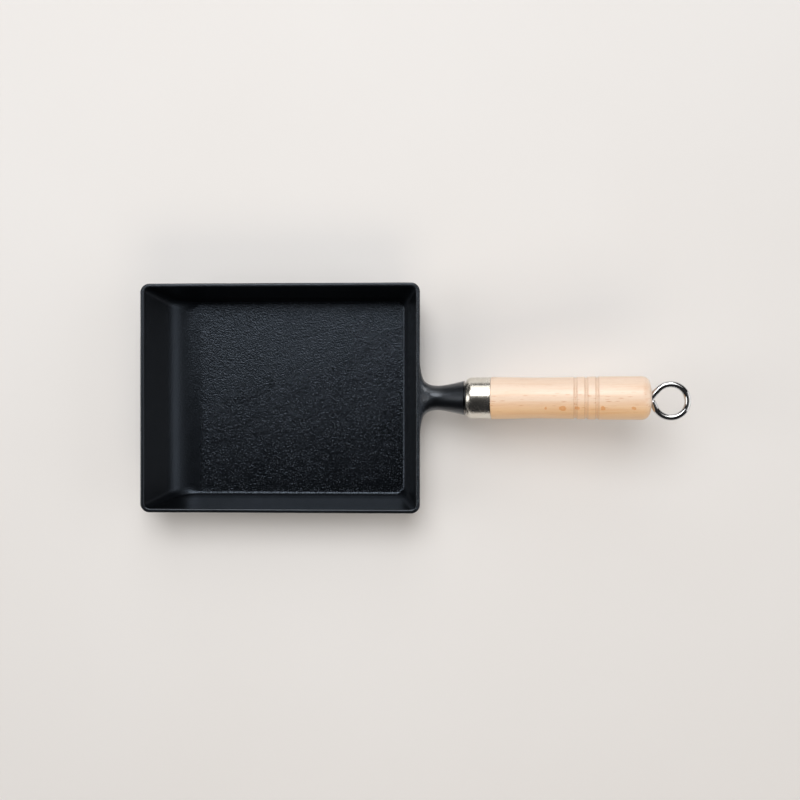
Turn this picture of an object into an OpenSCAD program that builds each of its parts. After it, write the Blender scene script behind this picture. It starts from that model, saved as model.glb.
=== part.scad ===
/* [Pan] */
// Length of the rim from the front edge to the back edge
pan_len = 173.6; // [140:0.2:220]
// Width of the rim halfway along the pan
pan_w = 142.8; // [115:0.2:190]
// How much wider the rim is at the back than at the front
pan_taper = 1.6; // [0:0.1:6]
// Height of the rim above the base
pan_h = 32; // [28:0.5:45]
// Thickness of the floor
floor_t = 4; // [3:0.1:6]
// Width of the flat-topped rim
rim_t = 2.6; // [2.2:0.1:4]
// Radius of the two rounded edges along the rim
rim_edge_r = 0.9; // [0.3:0.1:1]
// Corner radius of the rim in plan, on the outside
corner_r = 5.6; // [4.6:0.1:12]
// How much the plan corners open out towards the foot of the walls
corner_growth = 2.4; // [2:0.1:6]

/* [Walls] */
// Lean of the side and back walls from upright, on the inside
wall_lean = 14.2; // [8:0.2:20]
// Lean of the front wall, over which a rolled omelette slides out
front_lean = 29; // [15:0.5:34]
// Lean that the outer faces lack, which thickens the walls downwards
wall_thicken = 1.2; // [0:0.1:3]
// Fillet between the floor and the side and back walls
floor_fillet = 2; // [1:0.1:4]
// Wide fillet between the floor and the front wall
front_fillet = 19; // [8:0.5:24]
// Rounded edge under the side and back walls
base_edge_r = 5; // [3:0.1:5.5]
// Rounded edge under the front wall
front_base_r = 20; // [10:0.5:24]

/* [Neck] */
// Height of the neck's axis where it meets the back wall
neck_root_z = 25.5; // [22:0.5:26]
// Angle at which the neck and the handle rise
handle_tilt = 9; // [0:0.5:15]
// Length of the neck along its axis
neck_len = 29.4; // [24:0.2:60]
// Diameter of the neck at its waist
neck_waist_d = 15.4; // [13:0.2:18]
// Diameter of the neck at its end
neck_end_d = 21.4; // [19:0.2:24]
// Width of the flare where the neck grows out of the back wall
neck_root_w = 74; // [50:1:90]
// Distance from the back wall to the waist
neck_waist_at = 12.8; // [9:0.2:18]
// Height of the web's top above the axis at the back wall
neck_root_up = 6.4; // [3:0.1:6.5]
// Depth of the flare below the axis at the back wall
neck_root_down = 15; // [10:0.5:16]

/* [Tang] */
// Diameter of the raised seat that the ferrule bears on
seat_d = 15.6; // [15.6:0.1:18.6]
// Height of that seat
seat_h = 1; // [0.5:0.1:2]
// Width of the square-edged tang that stops the handle from turning
tang_w = 12; // [9:0.1:12.4]
// Height of the tang
tang_t = 9; // [8:0.1:9]
// Length of the tang beyond the seat
tang_len = 20; // [16:0.5:30]
// Room round the tang in the ferrule and in the grip
tang_clearance = 0.3; // [0.2:0.05:0.5]

/* [Ferrule] */
// Outside diameter of the ferrule
ferrule_d = 25.6; // [24:0.1:28]
// Length of the ferrule
ferrule_len = 15.7; // [10:0.2:20]
// Thickness of the ferrule's sheet metal
ferrule_t = 0.8; // [0.6:0.1:1.2]
// Radius of the ferrule's drawn shoulder
ferrule_shoulder_r = 3; // [1.5:0.1:3.5]
// Room between the ferrule and the grip inside it
ferrule_clearance = 0.05; // [0.02:0.01:0.1]

/* [Grip] */
// Length of the grip that shows behind the ferrule
grip_len = 96.7; // [85:0.2:140]
// Diameter of the grip beside the ferrule
grip_front_d = 26.2; // [25.7:0.1:30]
// Diameter at the shallow waist of the grip
grip_waist_d = 25.2; // [22:0.1:30]
// Diameter at the grip's widest part
grip_back_d = 26.6; // [24:0.1:32]
// Distance from the ferrule to the grip's waist
grip_waist_at = 29.5; // [20:0.5:36]
// Distance from the ferrule to the grip's widest part
grip_swell_at = 76.5; // [72:0.5:80]
// Rounding of the grip's back edge
grip_end_r = 5.5; // [3:0.1:7]
// Height of the shallow dome on the grip's back end
grip_dome = 0.7; // [0.3:0.1:1]
// Number of turned grooves
groove_count = 3; // [1:1:3]
// Distance from the ferrule to the first groove
groove_at = 51.2; // [42:0.2:53]
// Distance from groove to groove
groove_pitch = 6.45; // [5:0.05:7]
// Width of a groove
groove_w = 2.8; // [1.6:0.1:3.4]
// Depth of a groove
groove_depth = 0.6; // [0.3:0.05:1]

/* [Ring bolt] */
// Diameter of the wire that the bolt and its eye are bent from
wire_d = 4; // [3.4:0.1:4.4]
// Outside diameter of the eye
eye_d = 24; // [20:0.2:30]
// Half the angle between the eye's two straight runs
eye_run_angle = 57.5; // [50:0.5:65]
// How far the middle of the eye lies to one side of the bolt's axis
eye_aside = 1.8; // [0:0.1:2.5]
// Bend radius, at the middle of the wire, between the bolt and the eye
eye_bend_r = 3.5; // [3:0.1:4]
// How far the corner of the eye is drawn into the grip's end
eye_sunk = 0.5; // [0:0.1:0.8]
// Gap between the wire's cut end and the bent wire beside it
eye_cut_gap = 0.4; // [0.2:0.1:1]
// Pitch of the bolt's thread
thread_pitch = 0.7; // [0.5:0.05:0.8]
// Turns by which the bolt is screwed into the tang
thread_turns = 12; // [8:1:14]
// Room beyond the bolt's tip in the tapped hole
tip_room = 2.5; // [1:0.1:4]
// Radial running fit of the bolt in the tapped hole
thread_fit = 0.05; // [0.02:0.01:0.1]
// Radial room round the bolt in the grip
bolt_clearance = 0.35; // [0.3:0.05:0.6]

/* [Hidden] */

iron = [0.16, 0.18, 0.20];
nickel = [0.80, 0.79, 0.76];
beech = [0.93, 0.76, 0.58];
steel = [0.72, 0.72, 0.73];

// Smooth round forms
$fn = 96;
corner_steps = 8;
fillet_steps = 9;
edge_steps = 3;
neck_sides = 40;
neck_steps = 22;
grip_steps = 10;
end_steps = 6;

// Pan walls
wall_top = pan_h - rim_edge_r;
well_depth = wall_top - floor_t;
side_lean_out = wall_lean - wall_thicken;
front_lean_out = front_lean - wall_thicken;
inner_corner_r = corner_r - rim_t + 0.4;

// Neck: its root lies on the outer face of the back wall
root_x = pan_len / 2 - (wall_top - neck_root_z) * tan(side_lean_out);
root_embed = rim_t * 0.55;

// Handle, measured along its axis from the seat
spigot_r = ferrule_d / 2 - ferrule_t - ferrule_clearance;
spigot_start = ferrule_t + ferrule_clearance;
grip_end = ferrule_len + grip_len;
bolt_r = wire_d / 2;
bore_r = bolt_r + bolt_clearance;
thread_len = thread_pitch * thread_turns;
tip_at = tang_len - thread_len;

// Eye, measured in its own plane
eye_r = (eye_d - wire_d) / 2;
corner_at = grip_end - eye_sunk;
eye_reach = eye_r / sin(eye_run_angle);
eye_swing = asin(eye_aside / eye_reach);
first_run_angle = eye_run_angle - eye_swing;
second_run_angle = eye_run_angle + eye_swing;
run_len = eye_r / tan(eye_run_angle);
bend_len = eye_bend_r * tan(first_run_angle / 2);
eye_arc = 360 - 2 * (90 - eye_run_angle);
wire_lap = 0.2;
straight_r = bolt_r - 0.02;
// The cut end stops short of the bend's outer side
cut_at = eye_bend_r * (1 - sin(second_run_angle)) + bolt_r + eye_cut_gap
    - bend_len * cos(second_run_angle);

// Countersink that the corner of the eye is drawn into
sink_slope = 1.4;
sink_r = bolt_r / cos(second_run_angle) + (bolt_r + eye_sunk) * 0.6;
sink_depth = (sink_r - bore_r) / sink_slope;

// Inward run of a leaning wall at height z above its foot. The wall is h high,
// and a fillet of radius r leads it into the foot
function wall_run(z, h, lean, r) =
    let (turn = 90 - lean)
    z >= r * (1 - cos(turn))
        ? (h - z) * tan(lean)
        : h * tan(lean) + r * tan(turn / 2) - sqrt(r * r - pow(r - z, 2));

// Share of a wall's run that is due to its fillet alone
function fillet_run(z, h, lean, r) = wall_run(z, h, lean, r) - (h - z) * tan(lean);

// Closed outline at height z: a rounded rectangle drawn in from the rim's edge
function pan_ring(front_in, side_in, r, z) =
    let (front = pan_len / 2 - front_in - r,
         back = pan_len / 2 - side_in - r,
         half_w = pan_w / 2 - side_in - r)
    [for (q = [0:3]) for (k = [0:corner_steps])
        let (a = 90 * q + 90 * k / corner_steps,
             x = (q == 0 || q == 3 ? back : -front) + r * cos(a),
             y = (q < 2 ? half_w : -half_w) + r * sin(a))
        [x, y * (1 + pan_taper / pan_w * x / pan_len), z]];

// Outer face of the shell, from the base up to the rim
outer_rings = [
    for (k = [0:fillet_steps])
        let (z = front_base_r * (1 - cos((90 - front_lean_out) * k / fillet_steps)),
             side_in = wall_run(z, wall_top, side_lean_out, base_edge_r),
             r = corner_r + corner_growth * (1 - z / wall_top)
                 - fillet_run(z, wall_top, side_lean_out, base_edge_r))
        pan_ring(wall_run(z, wall_top, front_lean_out, front_base_r), side_in, r, z)];

// Over the rim, from its outer rounded edge to its inner one
rim_rings = concat(
    [for (k = [0:edge_steps])
        let (a = 90 * k / edge_steps, in = rim_edge_r * (1 - cos(a)))
        pan_ring(in, in, corner_r - in, wall_top + rim_edge_r * sin(a))],
    [for (k = [edge_steps:-1:0])
        let (a = 90 * k / edge_steps, in = rim_t - rim_edge_r * (1 - cos(a)))
        pan_ring(in, in, inner_corner_r + rim_t - in, wall_top + rim_edge_r * sin(a))]);

// Inner face, from the rim down to the floor
inner_rings = [
    for (k = [fillet_steps:-1:0])
        let (z = front_fillet * (1 - cos((90 - front_lean) * k / fillet_steps)),
             side_in = wall_run(z, well_depth, wall_lean, floor_fillet),
             r = inner_corner_r + corner_growth * (1 - z / well_depth)
                 - fillet_run(z, well_depth, wall_lean, floor_fillet))
        pan_ring(rim_t + wall_run(z, well_depth, front_lean, front_fillet),
                 rim_t + side_in, r, floor_t + z)];

// Half width of the neck at distance u from the back wall: a flare that leaves
// the wall tangentially, a waist, and a trumpet out to the end
function neck_swell(u) =
    u <= neck_waist_at ? 0 :
    let (soft = 0.28, q = (u - neck_waist_at) / (neck_len - neck_waist_at))
    (neck_end_d - neck_waist_d) / 2 * (sqrt(soft * soft + q * q) - soft)
        / (sqrt(soft * soft + 1) - soft);
function neck_flare(u, power, sharpness) =
    let (q = max(0, u) / neck_waist_at)
    pow(max(0, 1 - q) / (1 + sharpness * q), power);
function neck_half_w(u) = neck_waist_d / 2 + neck_swell(u)
    + (neck_root_w - neck_waist_d) / 2 * neck_flare(u, 1.5, 6);
function neck_up(u) = neck_waist_d / 2 + neck_swell(u)
    - (neck_waist_d / 2 - neck_root_up) * neck_flare(u, 2, 0);
function neck_down(u) = neck_waist_d / 2 + neck_swell(u)
    + (neck_root_down - neck_waist_d / 2) * neck_flare(u, 3, 0);

// A section of the neck turns from the lean of the wall to square with the axis
function neck_lean(u) =
    let (q = min(1, max(0, u) / neck_waist_at))
    side_lean_out - (side_lean_out + handle_tilt) * q * q * (3 - 2 * q);
function neck_ring(u) =
    [for (k = [0:neck_sides - 1])
        let (a = 360 * k / neck_sides,
             rise = sin(a) * (sin(a) > 0 ? neck_up(u) : neck_down(u)))
        [root_x + u * cos(handle_tilt) + rise * sin(neck_lean(u)),
         neck_half_w(u) * cos(a),
         neck_root_z + u * sin(handle_tilt) + rise * cos(neck_lean(u))]];

neck_rings = [
    for (k = [0:neck_steps])
        neck_ring((neck_len + root_embed) * pow(k / neck_steps, 1.5) - root_embed)];

// A closed skin over rings of equally many points
module skin(rings) {
    n = len(rings[0]);
    last = (len(rings) - 1) * n;
    sides = [for (i = [0:len(rings) - 2]) for (k = [0:n - 1])
        let (a = i * n + k, b = i * n + (k + 1) % n)
        each [[a, a + n, b + n], [a, b + n, b]]];
    first_cap = [for (k = [0:n - 1]) k];
    last_cap = [for (k = [n - 1:-1:0]) last + k];
    polyhedron([for (r = rings) each r], concat(sides, [first_cap, last_cap]), convexity = 6);
}

// Places its children along the handle: +Z runs outwards from the ferrule's seat
module along_handle() {
    translate([root_x, 0, neck_root_z])
        rotate([0, 90 - handle_tilt, 0])
            translate([0, 0, neck_len + seat_h])
                children();
}

// A bar with the tang's section, grown by a clearance on every side
module tang_bar(start, end, clearance) {
    w = tang_w + 2 * clearance;
    t = tang_t + 2 * clearance;
    translate([-t / 2, -w / 2, start])
        cube([t, w, end - start]);
}

// The casting: shell, neck, ferrule seat and tang, with the tapped hole
module pan() {
    color(iron)
        difference() {
            union() {
                skin(concat(outer_rings, rim_rings, inner_rings));
                skin(neck_rings);
                along_handle() {
                    translate([0, 0, -2 * seat_h])
                        cylinder(d = seat_d, h = 2 * seat_h);
                    tang_bar(-seat_h, tang_len, 0);
                }
            }
            along_handle()
                translate([0, 0, tip_at - tip_room])
                    cylinder(r = bolt_r + thread_fit, h = tang_len);
        }
}

// Drawn cup over the front of the grip, with a pierced flat end
module ferrule() {
    r = ferrule_d / 2;
    shoulder = [for (k = [0:end_steps])
        let (a = 90 * k / end_steps)
        [r - ferrule_shoulder_r * (1 - sin(a)), ferrule_shoulder_r * (1 - cos(a))]];
    inner_shoulder_r = ferrule_shoulder_r - ferrule_t;
    inner_shoulder = [for (k = [end_steps:-1:0])
        let (a = 90 * k / end_steps)
        [r - ferrule_t - inner_shoulder_r * (1 - sin(a)),
         ferrule_t + inner_shoulder_r * (1 - cos(a))]];
    color(nickel)
        along_handle()
            difference() {
                rotate_extrude()
                    polygon(concat([[0, 0]], shoulder, [[r, ferrule_len]],
                        [[r - ferrule_t, ferrule_len]], inner_shoulder, [[0, ferrule_t]]));
                tang_bar(-1, ferrule_t + 1, tang_clearance);
            }
}

// Radius of the grip at distance g behind the ferrule, without its grooves
function grip_r(g) =
    g < grip_waist_at
        ? (grip_waist_d + (grip_front_d - grip_waist_d) * (1 + cos(180 * g / grip_waist_at)) / 2) / 2
        : let (q = min(1, (g - grip_waist_at) / (grip_swell_at - grip_waist_at)))
          (grip_back_d + (grip_waist_d - grip_back_d) * (1 + cos(180 * q)) / 2) / 2;

// One groove, as points along the grip's outline
function groove_points(i) =
    let (middle = groove_at + groove_pitch * i)
    [for (k = [-end_steps:2:end_steps])
        let (q = k / end_steps, g = middle + q * groove_w / 2)
        [grip_r(g) - groove_depth * (1 + cos(180 * q)) / 2, ferrule_len + g]];

// The turned grip: spigot inside the ferrule, outline, grooves and back end
module grip() {
    spigot_edge_r = ferrule_shoulder_r - ferrule_t;
    spigot = [for (k = [0:end_steps])
        let (a = 90 * k / end_steps)
        [spigot_r - spigot_edge_r * (1 - sin(a)), spigot_start + spigot_edge_r * (1 - cos(a))]];
    front = [for (k = [0:grip_steps])
        let (g = (groove_at - groove_w) * k / grip_steps)
        [grip_r(g), ferrule_len + g]];
    grooves = [for (i = [0:groove_count - 1]) each groove_points(i)];
    last_groove = groove_at + groove_pitch * (groove_count - 1) + groove_w;
    back_r = grip_r(grip_len);
    edge_start = grip_len - grip_dome - grip_end_r;
    back = [for (k = [0:grip_steps])
        let (g = last_groove + (edge_start - last_groove) * k / grip_steps)
        [grip_r(g), ferrule_len + g]];
    edge = [for (k = [1:end_steps])
        let (a = 90 * k / end_steps)
        [back_r - grip_end_r * (1 - cos(a)), ferrule_len + edge_start + grip_end_r * sin(a)]];
    dome = [for (k = [1:end_steps])
        let (q = 1 - k / end_steps)
        [(back_r - grip_end_r) * q, grip_end - grip_dome * q * q]];
    color(beech)
        along_handle()
            difference() {
                rotate_extrude()
                    polygon(concat([[0, spigot_start]], spigot, [[spigot_r, ferrule_len]],
                        front, grooves, back, edge, dome));
                tang_bar(0, tang_len + 1, tang_clearance);
                cylinder(r = bore_r, h = grip_end + 1);
                translate([0, 0, grip_end - sink_depth])
                    cylinder(r1 = bore_r, r2 = sink_r + sink_slope, h = sink_depth + 1);
            }
}

// A bend in the wire, starting on the X axis and turning about Z
module bent_wire(r, turn) {
    rotate_extrude(angle = turn)
        translate([r, 0])
            circle(d = wire_d);
}

// A straight stretch of the wire along X. It is a hair thinner than the bends,
// and each lap carries it a little way into the bend at that end
module straight_wire(start, end, start_lap) {
    translate([start - start_lap, 0, 0])
        rotate([0, 90, 0])
            cylinder(r = straight_r, h = end + wire_lap - start + start_lap);
}

// The ring bolt: one wire, threaded at its tip and bent into an eye at its back
module ring_bolt() {
    bend_at = corner_at - bend_len;
    tip_chamfer = bolt_r * 0.3;
    color(steel)
        along_handle() {
            rotate_extrude()
                polygon([[0, tip_at], [straight_r - tip_chamfer, tip_at],
                    [straight_r, tip_at + tip_chamfer], [straight_r, bend_at + wire_lap],
                    [0, bend_at + wire_lap]]);
            // In the eye's plane X runs along the handle and Y across it
            rotate([0, -90, 0]) {
                translate([bend_at, eye_bend_r, 0])
                    rotate([0, 0, -90])
                        bent_wire(eye_bend_r, first_run_angle);
                translate([corner_at, 0, 0]) {
                    rotate([0, 0, first_run_angle])
                        straight_wire(bend_len, run_len, wire_lap);
                    rotate([0, 0, -second_run_angle])
                        straight_wire(cut_at, run_len, 0);
                    rotate([0, 0, -eye_swing])
                        translate([eye_reach, 0, 0])
                            rotate([0, 0, -eye_arc / 2])
                                bent_wire(eye_r, eye_arc);
                }
            }
        }
}

pan();
ferrule();
grip();
ring_bolt();
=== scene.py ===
"""A small cast-iron tamagoyaki pan with a turned beech handle, dressed for a soft studio light."""

import bpy
import numpy as np
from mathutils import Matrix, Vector


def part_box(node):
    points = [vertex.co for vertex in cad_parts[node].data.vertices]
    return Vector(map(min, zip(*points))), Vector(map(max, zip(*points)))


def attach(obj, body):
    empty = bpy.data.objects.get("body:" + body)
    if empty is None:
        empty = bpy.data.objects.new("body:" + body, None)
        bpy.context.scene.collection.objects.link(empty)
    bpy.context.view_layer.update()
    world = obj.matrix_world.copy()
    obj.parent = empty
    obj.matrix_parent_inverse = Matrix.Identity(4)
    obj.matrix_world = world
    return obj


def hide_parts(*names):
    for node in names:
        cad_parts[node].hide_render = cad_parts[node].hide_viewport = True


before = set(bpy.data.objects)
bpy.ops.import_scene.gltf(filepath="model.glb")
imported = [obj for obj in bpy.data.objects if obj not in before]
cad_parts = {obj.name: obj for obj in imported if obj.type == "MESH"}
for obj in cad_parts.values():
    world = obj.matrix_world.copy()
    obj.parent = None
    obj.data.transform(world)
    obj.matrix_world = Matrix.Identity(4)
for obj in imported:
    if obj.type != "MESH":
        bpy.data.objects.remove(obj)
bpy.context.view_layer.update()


# The pan casting
# One piece of sand-cast iron: a rectangular shell whose front wall rakes out, a neck that
# flares out of the back wall, a raised seat and a square tang with a tapped hole. It is cast,
# shot-blasted and baked black; everything else hangs on its tang.
PAN_LEN, PAN_WIDTH, PAN_TAPER = 0.1736, 0.1428, 0.0016
PAN_HEIGHT, FLOOR, RIM, RIM_EDGE = 0.032, 0.004, 0.0026, 0.0009
CORNER, CORNER_GROWTH = 0.0056, 0.0024
WALL_LEAN, FRONT_LEAN, LESS_OUTSIDE = np.radians([14.2, 29.0, 1.2])
FLOOR_FILLET, FRONT_FILLET, BASE_EDGE, FRONT_BASE = 0.002, 0.019, 0.005, 0.020
WALL_TOP = PAN_HEIGHT - RIM_EDGE
WELL_DEPTH = WALL_TOP - FLOOR
CORNER_EASE, MOULD_UNEVEN = 0.0004, 0.00009
INNER_CORNER = CORNER - RIM + CORNER_EASE


def wall_run(z, height, lean, fillet):
    """How far a leaning wall has run inwards at height z above its foot. Above the fillet it is
    a straight line; in the fillet it is the arc that is tangent to that line and to the foot."""
    turn = np.pi / 2 - lean
    line = (height - z) * np.tan(lean)
    arc = height * np.tan(lean) + fillet * np.tan(turn / 2)
    arc = arc - np.sqrt(np.maximum(fillet**2 - (fillet - z) ** 2, 0))
    return np.where(z >= fillet * (1 - np.cos(turn)), line, arc)


def outline_steps(corner_steps, long_steps, short_steps):
    """The walk round a rounded rectangle: the angle of the corner arc, and how far along the
    length (0 front, 1 back) and across the width (-1 to 1) the centre of that arc lies."""
    walk = []
    stops = [(1, 1), (0, 1), (0, -1), (1, -1)]
    for q, (fx, fy) in enumerate(stops):
        a = np.linspace(q * 90, q * 90 + 90, corner_steps, endpoint=False)
        walk.append(np.stack([a, a * 0 + fx, a * 0 + fy]))
        nx, ny = stops[(q + 1) % 4]
        t = np.linspace(0, 1, long_steps if fy == ny else short_steps, endpoint=False)
        walk.append(np.stack([t * 0 + q * 90 + 90, fx + (nx - fx) * t, fy + (ny - fy) * t]))
    angle, along, across = np.concatenate(walk, axis=1)
    return np.radians(angle), along, across


def shell_rings(front_in, side_in, radius, z):
    """One closed outline for each entry of the four arrays: the rim's rectangle drawn in by
    front_in at the front and side_in elsewhere, with that corner radius, at height z. The
    width grows evenly from front to back by the taper."""
    angle, along, across = outline_steps(corner_steps=12, long_steps=80, short_steps=68)
    columns = (np.asarray(v, float)[:, None] for v in (front_in, side_in, radius, z))
    front_in, side_in, radius, z = columns
    front = -(PAN_LEN / 2 - front_in - radius)
    back = PAN_LEN / 2 - side_in - radius
    x = front + (back - front) * along + radius * np.cos(angle)
    y = (PAN_WIDTH / 2 - side_in - radius) * across + radius * np.sin(angle)
    y = y * (1 + PAN_TAPER / PAN_WIDTH * x / PAN_LEN)
    return np.stack([x, y, z + 0 * x], axis=-1)


def leaning_face(height, side_lean, front_lean, side_fillet, front_fillet, corner):
    """The rings of one face of the shell, from its foot up: close together in the wide front
    fillet, evenly spaced above it."""
    turn = np.pi / 2 - front_lean
    z = front_fillet * (1 - np.cos(turn * np.linspace(0, 1, 24)))
    z = np.concatenate([z, np.linspace(z[-1], height, 14)[1:]])
    side = wall_run(z, height, side_lean, side_fillet)
    radius = corner + CORNER_GROWTH * (1 - z / height) - (side - (height - z) * np.tan(side_lean))
    return wall_run(z, height, front_lean, front_fillet), side, radius, z


def filled_in(ring, shares):
    """Copies of one ring, each drawn in towards the ring's middle by a share of the way."""
    middle = ring.mean(axis=0)
    return middle + (ring - middle) * np.asarray(shares)[:, None, None]


def shell_surface():
    """The whole closed skin as one grid: the base from its middle outwards, the outer face, the
    rounded rim, the inner face, and the floor back to its middle."""
    lean_out, front_out = WALL_LEAN - LESS_OUTSIDE, FRONT_LEAN - LESS_OUTSIDE
    outer = shell_rings(*leaning_face(WALL_TOP, lean_out, front_out, BASE_EDGE, FRONT_BASE, CORNER))
    a = np.linspace(0, np.pi / 2, 7)[1:]
    drawn, rise = RIM_EDGE * (1 - np.cos(a)), WALL_TOP + RIM_EDGE * np.sin(a)
    rim_out = shell_rings(drawn, drawn, CORNER - drawn, rise)
    drawn = RIM - drawn[::-1]
    rim_in = shell_rings(drawn, drawn, INNER_CORNER + RIM - drawn, rise[::-1])
    front, side, radius, z = leaning_face(
        WELL_DEPTH, WALL_LEAN, FRONT_LEAN, FLOOR_FILLET, FRONT_FILLET, INNER_CORNER
    )
    inner = shell_rings(front + RIM, side + RIM, radius, z + FLOOR)[::-1]
    fill = np.linspace(0.03, 0.97, 16)
    return np.concatenate(
        [filled_in(outer[0], fill), outer, rim_out, rim_in, inner, filled_in(inner[-1], fill[::-1])]
    )


def soft_noise(points, seed, waves, shortest, longest):
    """A smooth unevenness between -1 and 1 along each axis: the mean of plane waves with random
    directions, lengths and phases, drawn from one seed."""
    draw = np.random.default_rng(seed)
    total = np.zeros(points.shape)
    for _ in range(waves):
        way = draw.normal(size=3)
        way *= 2 * np.pi / draw.uniform(shortest, longest) / np.linalg.norm(way)
        total += np.sin(points @ way + draw.uniform(0, 2 * np.pi))[..., None] * draw.normal(size=3)
    return total / np.abs(total).max()


# The handle's axis leaves the back wall at the neck's root and rises with the neck
TILT = np.radians(9)
AXIS = np.array([np.cos(TILT), 0, np.sin(TILT)])
ACROSS = np.array([0.0, 1.0, 0.0])
UP = np.array([-np.sin(TILT), 0, np.cos(TILT)])
ROOT_Z = 0.0255
ROOT = np.array([PAN_LEN / 2 - (WALL_TOP - ROOT_Z) * np.tan(WALL_LEAN - LESS_OUTSIDE), 0, ROOT_Z])
NECK_LEN, NECK_WAIST, NECK_END, NECK_WAIST_AT = 0.0294, 0.0077, 0.0107, 0.0128
NECK_ROOT_HALF, NECK_ROOT_UP, NECK_ROOT_DOWN = 0.037, 0.0064, 0.015
SEAT_R, SEAT_H = 0.0078, 0.001
TANG_HALF_W, TANG_HALF_T, TANG_LEN = 0.006, 0.0045, 0.020
SEAT = ROOT + (NECK_LEN + SEAT_H) * AXIS
WIRE_R, THREAD_FIT, PITCH, THREAD_LEN, TIP_ROOM = 0.002, 0.00005, 0.0007, 0.0084, 0.0025
TIP_AT = TANG_LEN - THREAD_LEN


def along_handle(s, radius, angle):
    """Points at distance s from the seat, at that radius and angle round the handle's axis."""
    s, radius, angle = np.broadcast_arrays(s, radius, angle)
    cross = radius[..., None] * (np.cos(angle)[..., None] * ACROSS + np.sin(angle)[..., None] * UP)
    return SEAT + s[..., None] * AXIS + cross


def bar_radius(angle, half_w, half_t):
    """Polar radius of a rectangle with slightly rounded corners: where the sixteenth powers of
    the two coordinates, each over its half size, add up to one."""
    power = 16
    reach = np.abs(np.cos(angle) / half_w) ** power + np.abs(np.sin(angle) / half_t) ** power
    return reach ** (-1 / power)


def neck_surface():
    """The neck, seat, tang and tapped hole as one closed grid. The neck's sections are ellipses
    that start wide and deep in the plane of the back wall, shrink to a round waist and widen to
    the end, while their plane turns square to the axis. Past it come circles and rectangles."""
    angle = np.linspace(0, 2 * np.pi, 128, endpoint=False)
    # How deep the neck starts inside the wall, how gently its swell starts, how fast its flare ends
    embed, soft, hollow = RIM * 0.55, 0.28, 6
    u = ((NECK_LEN + embed) * np.linspace(0, 1, 70) ** 1.5 - embed)[:, None]
    beyond = np.maximum(0, u - NECK_WAIST_AT) / (NECK_LEN - NECK_WAIST_AT)
    swell = (np.sqrt(soft**2 + beyond**2) - soft) / (np.sqrt(soft**2 + 1) - soft)
    round_r = NECK_WAIST + (NECK_END - NECK_WAIST) * swell
    left = np.maximum(0, 1 - np.maximum(0, u) / NECK_WAIST_AT)
    q = np.minimum(1, np.maximum(0, u) / NECK_WAIST_AT)
    half_w = round_r + (NECK_ROOT_HALF - NECK_WAIST) * (left / (1 + hollow * q)) ** 1.5
    up = round_r - (NECK_WAIST - NECK_ROOT_UP) * left**2
    down = round_r + (NECK_ROOT_DOWN - NECK_WAIST) * left**3
    lean = WALL_LEAN - LESS_OUTSIDE
    lean = lean - (lean + TILT) * q * q * (3 - 2 * q)
    rise = np.sin(angle) * np.where(np.sin(angle) > 0, up, down)
    neck = np.stack(
        [
            ROOT[0] + u * AXIS[0] + rise * np.sin(lean),
            half_w * np.cos(angle),
            ROOT[2] + u * AXIS[2] + rise * np.cos(lean),
        ],
        axis=-1,
    )
    tang = bar_radius(angle, TANG_HALF_W, TANG_HALF_T)
    hole = WIRE_R + THREAD_FIT
    edge = 0.0004
    # Each row: distance from the seat, and the radius there
    rows = [(-SEAT_H, NECK_END - edge), (-SEAT_H, SEAT_R + edge), (-SEAT_H + edge, SEAT_R)]
    rows += [(-edge, SEAT_R), (0, SEAT_R - edge), (0, tang + edge), (edge, tang)]
    rows += [(s, tang) for s in np.linspace(0.001, TANG_LEN - edge, 20)]
    rows += [(TANG_LEN, tang - edge), (TANG_LEN, hole + edge), (TANG_LEN - edge, hole)]
    rows += [(s, hole) for s in np.linspace(TANG_LEN - 0.001, TIP_AT - TIP_ROOM, 16)]
    rows += [(TIP_AT - TIP_ROOM, hole * 0.1)]
    rest = np.stack([along_handle(s, r, angle) for s, r in rows])
    return np.concatenate([neck, rest])


def closed_grid(name, points, wrap_rows=False):
    """A mesh piece from a grid of points whose columns close on themselves. Its first and last
    rows are closed by a flat face each, unless the rows close on themselves too."""
    rows, cols = points.shape[:2]
    index = np.arange(rows * cols).reshape(rows, cols)
    a = index if wrap_rows else index[:-1]
    b = np.roll(index, -1, axis=0) if wrap_rows else index[1:]
    quads = np.stack([a, np.roll(a, -1, axis=1), np.roll(b, -1, axis=1), b], axis=-1)
    faces = quads.reshape(-1, 4).tolist()
    if not wrap_rows:
        faces += [index[0, ::-1].tolist(), index[-1].tolist()]
    mesh = bpy.data.meshes.new(name)
    mesh.from_pydata(points.reshape(-1, 3).tolist(), [], faces)
    piece = bpy.data.objects.new(name, mesh)
    bpy.context.collection.objects.link(piece)
    return piece


def smooth_but_sharp(piece, degrees):
    """Shades the piece smooth, apart from edges that turn by more than the given angle."""
    piece.data.shade_smooth()
    piece.data.set_sharp_from_angle(angle=np.radians(degrees))


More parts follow.
